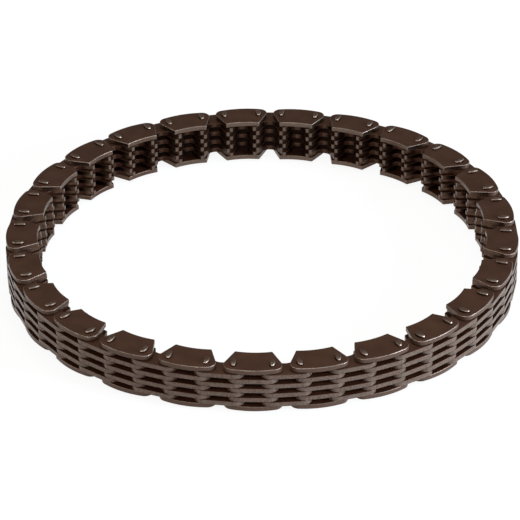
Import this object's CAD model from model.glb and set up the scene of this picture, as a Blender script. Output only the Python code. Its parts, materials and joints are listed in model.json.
"""Looks of the silent chain: browned plates, punched edges, worn rims and rubbed pin ends, in a studio."""
import json
import math

import bmesh
import bpy
from mathutils import Matrix, Vector


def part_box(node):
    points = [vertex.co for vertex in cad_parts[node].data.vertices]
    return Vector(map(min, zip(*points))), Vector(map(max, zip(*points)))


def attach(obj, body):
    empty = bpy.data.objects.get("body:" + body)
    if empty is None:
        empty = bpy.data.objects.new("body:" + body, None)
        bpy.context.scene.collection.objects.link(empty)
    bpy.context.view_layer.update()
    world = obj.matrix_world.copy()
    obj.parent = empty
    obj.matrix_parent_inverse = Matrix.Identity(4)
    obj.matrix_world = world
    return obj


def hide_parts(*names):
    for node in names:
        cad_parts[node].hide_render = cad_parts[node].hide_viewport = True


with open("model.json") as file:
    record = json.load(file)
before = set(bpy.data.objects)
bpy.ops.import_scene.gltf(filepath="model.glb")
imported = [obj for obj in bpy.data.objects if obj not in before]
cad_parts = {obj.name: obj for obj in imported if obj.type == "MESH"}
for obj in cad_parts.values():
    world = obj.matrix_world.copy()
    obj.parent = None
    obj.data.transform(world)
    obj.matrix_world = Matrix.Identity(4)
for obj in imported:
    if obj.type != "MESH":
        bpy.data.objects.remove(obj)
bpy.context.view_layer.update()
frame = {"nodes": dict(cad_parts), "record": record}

MM = 0.001

# Sizes that the looks follow, read from the front guide link
lower_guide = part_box("guide_link_01_lower_guide_plate")
upper_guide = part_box("guide_link_01_upper_guide_plate")
ROWS_ACROSS = 9
LAST_ROW = ROWS_ACROSS - 1
PLATE_T = lower_guide[1].z - lower_guide[0].z
ROW_STEP = (upper_guide[0].z - lower_guide[0].z) / LAST_ROW
FIRST_ROW_Z = lower_guide[0].z
MIDDLE_Z = (lower_guide[0].z + upper_guide[1].z) / 2
LOOP_RADIUS = -(lower_guide[0].y + lower_guide[1].y) / 2
OPEN_ROWS = 2  # rows at each side whose outer flats can be seen
LEAST_PIN_HEIGHT = 2 * PLATE_T

# Rounding of the edges, as stamping and tumbling leave them, with the steps in each round
ROUND = {"guide": 0.15 * MM, "tooth": 0.1 * MM, "seat": 0.22 * MM, "pin": 0.06 * MM}
ROUND_STEPS = {"guide": 2, "tooth": 2, "seat": 3, "pin": 2}
SHARP_ANGLE = math.radians(32)
CHAMFER_WIDTH = 0.2 * MM
CHAMFER_DROP = 0.29 * MM

# How far up or down a face looks, at least: a plate's flat, a pin's end and a pin's chamfer
FLAT_NORMAL = 0.9995
END_NORMAL = 0.9
CHAMFER_NORMAL = 0.3

# Cleaning of the CAD meshes
WELD = 0.001 * MM
COPLANAR = math.radians(0.5)

# Camera, fitted to the guide plates in the photograph
CAMERA_LENS = 191.2
CAMERA_DISTANCE = 863 * MM
CAMERA_ELEVATION = math.radians(31.58)
CAMERA_AZIMUTH = math.radians(2.2)
CAMERA_AIM_RIGHT = -0.7 * MM
CAMERA_AIM_UP = 3.03 * MM
CAMERA_ROLL = math.radians(-0.43)

# Studio light: each softbox has its place, its size, its power in watts and its colour
WORLD_LIGHT = 0.22
SOFTBOXES = {
    "overhead_softbox": ((0.05, 0.1, 0.9), (0.6, 0.5), 4.0, (1, 1, 1)),
    "front_softbox": ((-0.15, -0.85, 0.7), (0.5, 0.3), 4.9, (1, 0.95, 0.9)),
    "right_softbox": ((1.02, -0.3, 0.25), (0.4, 0.5), 30.0, (0.72, 0.86, 1)),
    "left_softbox": ((-1.0, -0.35, 0.3), (0.4, 0.5), 3.5, (1, 0.98, 0.88)),
}

# Floor
FLOOR_HALF_WIDTH = 6.0
FLOOR_GLOW = 0.9
FLOOR_WHITE = (0.95, 0.95, 0.95, 1)
FLOOR_GREY = (0.3, 0.3, 0.3, 1)

# Finishes, as linear colours
WHITE = (1, 1, 1, 1)
BROWN_DARK = (0.072, 0.0325, 0.0185, 1)
BROWN_LIGHT = (0.095, 0.0445, 0.0255, 1)
OIL_DARK = (0.019, 0.0045, 0.0015, 1)
OIL_LIGHT = (0.030, 0.009, 0.004, 1)
EDGE_DARK = (0.052, 0.029, 0.019, 1)
EDGE_LIGHT = (0.104, 0.062, 0.043, 1)
EDGE_WORN = (0.137, 0.097, 0.076, 1)
EDGE_BROWN = (0.078, 0.044, 0.030, 1)
RIM_STEEL = (0.262, 0.214, 0.186, 1)
PIN_DARK = (0.080, 0.046, 0.030, 1)
PIN_LIGHT = (0.135, 0.086, 0.060, 1)
PIN_RUBBED = (0.137, 0.099, 0.078, 1)
PIN_BRIGHT = (0.302, 0.243, 0.203, 1)

# Fineness of the patterns, in features per metre
FACE_CLOUD, FACE_GRAIN, FACE_FLECK = 160.0, 5200.0, 2600.0
OIL_CLOUD = 300.0
EDGE_CLOUD, EDGE_STREAKS, EDGE_MOTTLE, EDGE_SPECKLE = 260.0, 2400.0, 1700.0, 3400.0
RIM_CLOUD = 420.0
PIN_CLOUD, PIN_SIDE_CLOUD, PIN_GRAIN = 900.0, 500.0, 4200.0
SPECKLE = 3000.0

# How much slower a pattern runs along the grain than across it
FACE_STRETCH = 0.25
STREAK_STRETCH = 0.22
PIN_END_STRETCH = 0.2
PIN_SIDE_STRETCH = 0.1

# Depth of the relief in the finishes
FINE_RELIEF = 0.02 * MM
CUT_RELIEF = 0.05 * MM

# Where the cut edges change, from and to: past the pins outwards, and inside them inwards
OUTER_SIDE = (0.6 * MM, 2 * MM)
PAST_DEEP = (1.6 * MM, 3.4 * MM)
INNER_END = (3.5 * MM, 4.3 * MM)


class Wire:
    """A shader value that adds Math nodes when it is used in an expression."""

    def __init__(self, sheet, socket):
        self.sheet = sheet
        self.socket = socket

    def math(self, operation, *values):
        return self.sheet.node("ShaderNodeMath", {"operation": operation}, dict(enumerate(values)))

    def __add__(self, other):
        return self.math("ADD", self, other)

    __radd__ = __add__

    def __sub__(self, other):
        return self.math("SUBTRACT", self, other)

    def __rsub__(self, other):
        return self.math("SUBTRACT", other, self)

    def __mul__(self, other):
        return self.math("MULTIPLY", self, other)

    __rmul__ = __mul__

    def __truediv__(self, other):
        return self.math("DIVIDE", self, other)

    def fraction(self):
        return self.math("FRACT", self)

    def angle_to(self, other):
        return self.math("ARCTAN2", self, other)

    def root(self):
        return self.math("SQRT", self)

    def size(self):
        return self.math("ABSOLUTE", self)

    def at_most(self, limit):
        return self.math("MINIMUM", self, limit)

    def smooth_between(self, low, high):
        return self.sheet.node(
            "ShaderNodeMapRange",
            {"interpolation_type": "SMOOTHSTEP"},
            {"Value": self, "From Min": low, "From Max": high},
        )


class Sheet:
    """The nodes of one material."""

    def __init__(self, name):
        self.material = bpy.data.materials.new(name)
        self.material.use_nodes = True
        self.tree = self.material.node_tree
        self.tree.nodes.clear()

    def node(self, kind, settings, inputs, output=0):
        made = self.tree.nodes.new(kind)
        for key, value in settings.items():
            setattr(made, key, value)
        for key, value in inputs.items():
            if isinstance(value, Wire):
                self.tree.links.new(value.socket, made.inputs[key])
            else:
                made.inputs[key].default_value = value
        return Wire(self, made.outputs[output]) if made.outputs else None

    def outputs(self, kind, inputs, names):
        """Several outputs of one node."""
        made = self.node(kind, {}, inputs).socket.node
        return [Wire(self, made.outputs[name]) for name in names]

    def noise(self, place, scale, detail=3.0, roughness=0.55):
        return self.node(
            "ShaderNodeTexNoise",
            {},
            {"Vector": place, "Scale": scale, "Detail": detail, "Roughness": roughness},
        )

    def blend(self, factor, first, second):
        return self.node(
            "ShaderNodeMix", {"data_type": "RGBA"}, {"Factor": factor, 6: first, 7: second}, output=2
        )

    def vector(self, operation, first, second=None, output=0):
        inputs = {0: first} if second is None else {0: first, 1: second}
        return self.node("ShaderNodeVectorMath", {"operation": operation}, inputs, output)

    def object_place(self):
        return self.node("ShaderNodeTexCoord", {}, {}, output="Object")

    def parts(self, place):
        return self.outputs("ShaderNodeSeparateXYZ", {0: place}, range(3))

    def joined(self, x, y, z):
        return self.node("ShaderNodeCombineXYZ", {}, {0: x, 1: y, 2: z})

    def along_chain(self, place):
        """The place as metres along the chain, metres from the middle of the loop, and height."""
        x, y, z = self.parts(place)
        along = y.angle_to(x) * LOOP_RADIUS
        outward = (x * x + y * y).root()
        return along, outward, z

    def facing_out(self, place):
        """1 where a surface faces straight out of the loop, -1 straight in, 0 along the chain or up."""
        radial = self.vector("NORMALIZE", self.vector("MULTIPLY", place, (1, 1, 0)))
        normal = self.node("ShaderNodeTexCoord", {}, {}, output="Normal")
        return self.vector("DOT_PRODUCT", radial, normal, output="Value")

    def seen_rays(self):
        """1 for rays that show the background: straight to the camera, mirrored or through glass."""
        names = ("Is Camera Ray", "Is Glossy Ray", "Is Transmission Ray")
        camera, mirrored, through = self.outputs("ShaderNodeLightPath", {}, names)
        return (camera + mirrored + through).at_most(1)

    def bump(self, height, strength, depth=FINE_RELIEF):
        return self.node("ShaderNodeBump", {}, {"Strength": strength, "Distance": depth, "Height": height})

    def steel(self, color, roughness, normal, metallic, specular=0.5):
        shader = self.node(
            "ShaderNodeBsdfPrincipled",
            {},
            {
                "Base Color": color,
                "Roughness": roughness,
                "Metallic": metallic,
                "Specular IOR Level": specular,
                "Normal": normal,
            },
        )
        self.node("ShaderNodeOutputMaterial", {}, {"Surface": shader})
        return self.material


def browned_face():
    """The flat of a plate: dark brown oxide under a film of oil, with fine grain along the chain."""
    sheet = Sheet("browned_face")
    place = sheet.object_place()
    along, outward, height = sheet.along_chain(place)
    cloud = sheet.noise(place, FACE_CLOUD, detail=4.0)
    grain = sheet.noise(sheet.joined(along * FACE_STRETCH, outward, height), FACE_GRAIN, detail=2.0)
    fleck = sheet.noise(place, FACE_FLECK, detail=2.0).smooth_between(0.62, 0.74)
    tone = cloud * 0.6 + grain * 0.4
    color = sheet.blend(tone.smooth_between(0.3, 0.7), BROWN_DARK, BROWN_LIGHT)
    color = sheet.blend(fleck * 0.35, color, EDGE_DARK)
    roughness = 0.42 + cloud * 0.14 + fleck * 0.1
    normal = sheet.bump(grain + cloud * 0.5, strength=0.12)
    return sheet.steel(color, roughness, normal, metallic=0.85, specular=0.3)


def oiled_face():
    """The flat of a plate that lies against other plates: it holds dark oil."""
    sheet = Sheet("oiled_face")
    place = sheet.object_place()
    cloud = sheet.noise(place, OIL_CLOUD)
    speckle = sheet.noise(place, SPECKLE, detail=2.0)
    color = sheet.blend((cloud * 0.7 + speckle * 0.3).smooth_between(0.35, 0.65), OIL_DARK, OIL_LIGHT)
    normal = sheet.bump(speckle + cloud, strength=0.15)
    return sheet.steel(color, 0.45 + cloud * 0.2, normal, metallic=0.0, specular=0.1)


def punched_edge(name, outer, oil):
    """The cut edge of a plate: a burnished band over a rougher torn one, with streaks across the edge.
    It is rubbed duller on its outer side and paler at its innermost ends. Between them it is glossy, and
    dark oil collects where it lies deep and faces along the chain."""
    sheet = Sheet(name)
    place = sheet.object_place()
    along, outward, height = sheet.along_chain(place)
    streaks = sheet.noise(sheet.joined(along, outward, height * STREAK_STRETCH), EDGE_STREAKS)
    speckle = sheet.noise(place, EDGE_SPECKLE, roughness=0.7)
    mottle = sheet.noise(place, EDGE_MOTTLE, roughness=0.7)
    cloud = sheet.noise(place, EDGE_CLOUD)
    level = ((height - FIRST_ROW_Z) / ROW_STEP).fraction() * (ROW_STEP / PLATE_T)
    burnished = (level + streaks * 0.3).smooth_between(0.42, 0.62)
    tone = (streaks * 0.15 + speckle * 0.2 + mottle * 0.5 + cloud * 0.15).smooth_between(0.42, 0.58)
    outer_side = (outward - LOOP_RADIUS).smooth_between(*OUTER_SIDE)
    inward = LOOP_RADIUS - outward
    inner_end = inward.smooth_between(*INNER_END)
    deep = 1 - inward.smooth_between(*PAST_DEEP)
    facing_in = (0 - sheet.facing_out(place)).smooth_between(0.95, 0.998)
    oiled = (deep - outer_side) * (0.85 - facing_in * 0.45) * oil
    color = sheet.blend(tone, EDGE_DARK, EDGE_LIGHT)
    color = sheet.blend(burnished * 0.25, color, EDGE_LIGHT)
    color = sheet.blend(outer_side * (0.25 + tone * 0.7), color, outer)
    color = sheet.blend(inner_end * facing_in * 0.9, color, EDGE_WORN)
    color = sheet.blend(oiled, color, OIL_DARK)
    roughness = 0.36 - burnished * 0.1 + speckle * 0.1
    torn = (speckle + mottle) * (1.2 - burnished)
    normal = sheet.bump(torn + streaks * 0.6, strength=0.35, depth=CUT_RELIEF)
    return sheet.steel(color, roughness, normal, metallic=0.95 - outer_side * 0.65, specular=0.3)


def worn_rim(name, dull, bright):
    """A rounded rim, where handling has rubbed the oxide down towards the steel, most on the outer side."""
    sheet = Sheet(name)
    place = sheet.object_place()
    height = sheet.parts(place)[2]
    cloud = sheet.noise(place, RIM_CLOUD, detail=4.0, roughness=0.65)
    speckle = sheet.noise(place, SPECKLE, detail=2.0)
    worn = (cloud * 0.7 + speckle * 0.3).smooth_between(0.36, 0.64)
    from_flat = (height - MIDDLE_Z).size() - (MIDDLE_Z - FIRST_ROW_Z)
    open_side = from_flat.smooth_between(-0.7 * PLATE_T, -0.3 * PLATE_T)
    handled = 0.75 + sheet.facing_out(place) * 0.25
    color = sheet.blend(worn * open_side * handled, dull, bright)
    roughness = 0.5 - open_side * worn * 0.06
    normal = sheet.bump(speckle, strength=0.06)
    return sheet.steel(color, roughness, normal, metallic=0.9)


def pin_end():
    """The crowned end of a pin: browned as the plates are, and rubbed a little paler in patches."""
    sheet = Sheet("pin_end")
    place = sheet.object_place()
    along, outward, height = sheet.along_chain(place)
    grain = sheet.noise(sheet.joined(along, outward * PIN_END_STRETCH, height), PIN_GRAIN, detail=2.0)
    cloud = sheet.noise(place, PIN_CLOUD)
    tone = grain * 0.4 + cloud * 0.6
    color = sheet.blend(tone.smooth_between(0.38, 0.66), PIN_DARK, PIN_LIGHT)
    normal = sheet.bump(grain, strength=0.15)
    return sheet.steel(color, 0.36 + grain * 0.14, normal, metallic=0.8)


def pin_rim():
    """The chamfer round a pin's end: rubbed steel, brightest on the two narrow sides."""
    sheet = Sheet("pin_rim")
    place = sheet.object_place()
    cloud = sheet.noise(place, PIN_CLOUD)
    speckle = sheet.noise(place, SPECKLE, detail=2.0)
    narrow = sheet.facing_out(place).size().smooth_between(0.3, 0.75)
    worn = (cloud * 0.6 + speckle * 0.4).smooth_between(0.2, 0.5)
    color = sheet.blend(worn, PIN_DARK, sheet.blend(narrow, PIN_RUBBED, PIN_BRIGHT))
    normal = sheet.bump(speckle, strength=0.12)
    return sheet.steel(color, 0.58 - worn * 0.06, normal, metallic=0.9)


def pin_side():
    """The long sides of the pins and rockers: hardened steel, ground along the bar and dark with oil."""
    sheet = Sheet("pin_side")
    place = sheet.object_place()
    along, outward, height = sheet.along_chain(place)
    grain = sheet.noise(sheet.joined(along, outward, height * PIN_SIDE_STRETCH), PIN_GRAIN, detail=2.0)
    cloud = sheet.noise(place, PIN_SIDE_CLOUD)
    color = sheet.blend((grain * 0.6 + cloud * 0.4).smooth_between(0.35, 0.7), OIL_LIGHT, EDGE_DARK)
    normal = sheet.bump(grain, strength=0.15)
    return sheet.steel(color, 0.3 + cloud * 0.1, normal, metallic=0.9)


FACE, INSIDE, GUIDE_EDGE, TOOTH_EDGE, GUIDE_RIM, TOOTH_RIM, PIN_END, PIN_SIDE, PIN_RIM = range(9)
finishes = [
    browned_face(),
    oiled_face(),
    punched_edge("guide_plate_edge", outer=EDGE_BROWN, oil=0.0),
    punched_edge("tooth_plate_edge", outer=EDGE_WORN, oil=1.0),
    worn_rim("guide_plate_rim", EDGE_WORN, RIM_STEEL),
    worn_rim("tooth_plate_rim", EDGE_DARK, EDGE_LIGHT),
    pin_end(),
    pin_side(),
    pin_rim(),
]
EDGE_OF = {"guide": GUIDE_EDGE, "tooth": TOOTH_EDGE}
RIM_OF = {"guide": GUIDE_RIM, "tooth": TOOTH_RIM, "seat": FACE, "pin": PIN_RIM}
# Finishes between which the shading breaks
RIM_BOUNDS = ({GUIDE_RIM, GUIDE_EDGE}, {TOOTH_RIM, TOOTH_EDGE})


def placed(name, mesh, materials):
    """An object made of a mesh, at the origin."""
    data = bpy.data.meshes.new(name)
    mesh.to_mesh(data)
    mesh.free()
    for material in materials:
        data.materials.append(material)
    made = bpy.data.objects.new(name, data)
    bpy.context.scene.collection.objects.link(made)
    return made


def islands(faces):
    """The groups of faces that hang together, each as a list."""
    left = dict.fromkeys(faces)
    while left:
        found = [left.popitem()[0]]
        for face in found:
            for edge in face.edges:
                for other in edge.link_faces:
                    if other in left:
                        del left[other]
                        found.append(other)
        yield found


def kind_of(solid):
    """The kind of a solid, and which of its flats lie open: the lower and the upper. Its height tells a
    pin or rocker from a plate, and its row a guide plate from a tooth plate."""
    heights = [vert.co.z for face in solid for vert in face.verts]
    low, high = min(heights), max(heights)
    if high - low > LEAST_PIN_HEIGHT:
        return "pin", True, True
    row = round((low - FIRST_ROW_Z) / ROW_STEP)
    kind = "guide" if row in (0, LAST_ROW) else "tooth"
    return kind, row < OPEN_ROWS, row > LAST_ROW - OPEN_ROWS


def is_end(face):
    return abs(face.normal.z) > END_NORMAL


def finishes_at(edge):
    return {face.material_index for face in edge.link_faces}


def chamfer_ends(mesh):
    """Makes each end of the pins or rockers one face with a steep chamfer round it."""
    ends = []
    for solid in islands(mesh.faces):
        if kind_of(solid)[0] == "pin":
            faces = [face for face in solid if is_end(face)]
            ends.append([face for face in faces if face.normal.z > 0])
            ends.append([face for face in faces if face.normal.z < 0])
    merged = []
    for faces in ends:
        merged += bmesh.ops.dissolve_faces(mesh, faces=faces)["region"]
    outline = dict.fromkeys(vert for face in merged for vert in face.verts)
    bmesh.ops.inset_individual(mesh, faces=merged, thickness=CHAMFER_WIDTH, use_even_offset=True)
    for vert in outline:
        vert.co.z += CHAMFER_DROP if vert.co.z < MIDDLE_Z else -CHAMFER_DROP
    mesh.normal_update()


def finish_faces(solid, kind, lower_open, upper_open):
    """Gives each face of a solid its finish. Only the flats of the plates are shaded flat."""
    for face in solid:
        tilt = abs(face.normal.z)
        face.smooth = True
        if kind == "pin":
            side = PIN_RIM if tilt > CHAMFER_NORMAL else PIN_SIDE
            face.material_index = PIN_END if is_end(face) else side
        elif tilt > FLAT_NORMAL:
            face.smooth = False
            face.material_index = FACE if (upper_open if face.normal.z > 0 else lower_open) else INSIDE
        else:
            face.material_index = EDGE_OF[kind]


def seat_edges(solid):
    """The edges of the openings in a guide plate: those of its upright walls, but for the run with the
    largest area, which is its outline."""
    walls = [face for face in solid if abs(face.normal.z) < CHAMFER_NORMAL]
    runs = sorted(islands(walls), key=lambda run: sum(face.calc_area() for face in run))
    return {edge for run in runs[:-1] for face in run for edge in face.edges}


def edges_to_round(solid, kind):
    """The edges of a finished solid that are rounded, under the kind of their rounding. The upright
    corners in the openings of a guide plate stay sharp."""
    edges = dict.fromkeys(edge for face in solid for edge in face.edges)
    if kind == "pin":
        return {kind: [edge for edge in edges if len(finishes_at(edge)) > 1]}
    sharp = [edge for edge in edges if edge.calc_face_angle(0) > SHARP_ANGLE]
    if kind == "tooth":
        return {kind: sharp}
    seats = seat_edges(solid)
    return {
        kind: [edge for edge in sharp if edge not in seats],
        "seat": [edge for edge in sharp if edge in seats and any(is_end(face) for face in edge.link_faces)],
    }


def round_edges(mesh, edges, kind):
    made = bmesh.ops.bevel(
        mesh,
        geom=edges,
        offset=ROUND[kind],
        offset_type="OFFSET",
        affect="EDGES",
        segments=ROUND_STEPS[kind],
        profile=0.5,
        clamp_overlap=True,
        material=-1,
    )
    for face in made["faces"]:
        face.smooth = True
        face.material_index = RIM_OF[kind]


def crown_ends(mesh, low, high):
    """Raises the middle of each end of the pins or rockers to the bar's full reach."""
    ends = [face for face in mesh.faces if face.material_index == PIN_END]
    for vert in bmesh.ops.poke(mesh, faces=ends)["verts"]:
        vert.co.z = high if vert.co.z > MIDDLE_Z else low


def dress(node, body, slot):
    """A copy of a CAD node with rounded rims and a finish for each kind of surface, in the node's place."""
    mesh = bmesh.new()
    mesh.from_mesh(frame["nodes"][node].data)
    heights = [vert.co.z for vert in mesh.verts]
    bmesh.ops.remove_doubles(mesh, verts=mesh.verts, dist=WELD)
    bmesh.ops.dissolve_limit(mesh, angle_limit=COPLANAR, verts=mesh.verts, edges=mesh.edges)
    chamfer_ends(mesh)
    sharp = {kind: [] for kind in ROUND}
    for solid in list(islands(mesh.faces)):
        kind, lower_open, upper_open = kind_of(solid)
        finish_faces(solid, kind, lower_open, upper_open)
        for rounding, edges in edges_to_round(solid, kind).items():
            sharp[rounding] += edges
    for rounding, edges in sharp.items():
        if edges:
            round_edges(mesh, edges, rounding)
    crown_ends(mesh, min(heights), max(heights))
    for edge in mesh.edges:
        edge.smooth = finishes_at(edge) not in RIM_BOUNDS
    piece = placed(node + "_finished", mesh, finishes)
    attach(piece, body)
    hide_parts(node)


def studio_floor():
    """A pale floor that reads as white to the camera and keeps a soft shadow."""
    sheet = Sheet("pale_floor")
    seen = sheet.seen_rays()
    glow = sheet.node("ShaderNodeEmission", {}, {"Color": WHITE, "Strength": 1.0})
    grey = sheet.node("ShaderNodeBsdfDiffuse", {}, {"Color": FLOOR_GREY})
    white = sheet.node("ShaderNodeBsdfDiffuse", {}, {"Color": FLOOR_WHITE})
    bright = sheet.node("ShaderNodeMixShader", {}, {0: FLOOR_GLOW, 1: white, 2: glow})
    surface = sheet.node("ShaderNodeMixShader", {}, {0: seen, 1: grey, 2: bright})
    sheet.node("ShaderNodeOutputMaterial", {}, {"Surface": surface})
    mesh = bmesh.new()
    bmesh.ops.create_grid(mesh, x_segments=1, y_segments=1, size=FLOOR_HALF_WIDTH)
    placed("studio_floor", mesh, [sheet.material])


def softbox(name, place, size, power, color):
    """A soft lamp that looks at the middle of the loop."""
    lamp = bpy.data.lights.new(name, "AREA")
    lamp.color = color
    lamp.shape = "RECTANGLE"
    lamp.size, lamp.size_y = size
    lamp.energy = power
    box = bpy.data.objects.new(name, lamp)
    box.location = place
    box.rotation_mode = "QUATERNION"
    box.rotation_quaternion = (-Vector(place)).to_track_quat("-Z", "Y")
    bpy.context.scene.collection.objects.link(box)


def studio_light():
    world = bpy.data.worlds.new("studio")
    bpy.context.scene.world = world
    world.use_nodes = True
    background = world.node_tree.nodes["Background"]
    background.inputs["Color"].default_value = WHITE
    background.inputs["Strength"].default_value = WORLD_LIGHT
    for name, values in SOFTBOXES.items():
        softbox(name, *values)


def photo_camera():
    data = bpy.data.cameras.new("photo_camera")
    data.lens = CAMERA_LENS
    camera = bpy.data.objects.new("photo_camera", data)
    bpy.context.scene.collection.objects.link(camera)
    level = math.cos(CAMERA_ELEVATION)
    place = CAMERA_DISTANCE * Vector(
        (math.sin(CAMERA_AZIMUTH) * level, -math.cos(CAMERA_AZIMUTH) * level, math.sin(CAMERA_ELEVATION))
    )
    to_centre = (-place).to_track_quat("-Z", "Y")
    aim = to_centre @ Vector((CAMERA_AIM_RIGHT, CAMERA_AIM_UP, 0))
    turn = (aim - place).to_track_quat("-Z", "Y").to_matrix() @ Matrix.Rotation(CAMERA_ROLL, 3, "Z")
    camera.matrix_world = Matrix.Translation(place) @ turn.to_4x4()
    bpy.context.scene.camera = camera


slot_of = {part["node"]: part["material_slot"] for part in frame["record"]["subparts"]}
for body, nodes in frame["record"]["behaviour"]["bodies"].items():
    for node in nodes:
        dress(node, body, slot_of[node])
studio_floor()
studio_light()
photo_camera()
bpy.context.scene.view_settings.view_transform = "Standard"
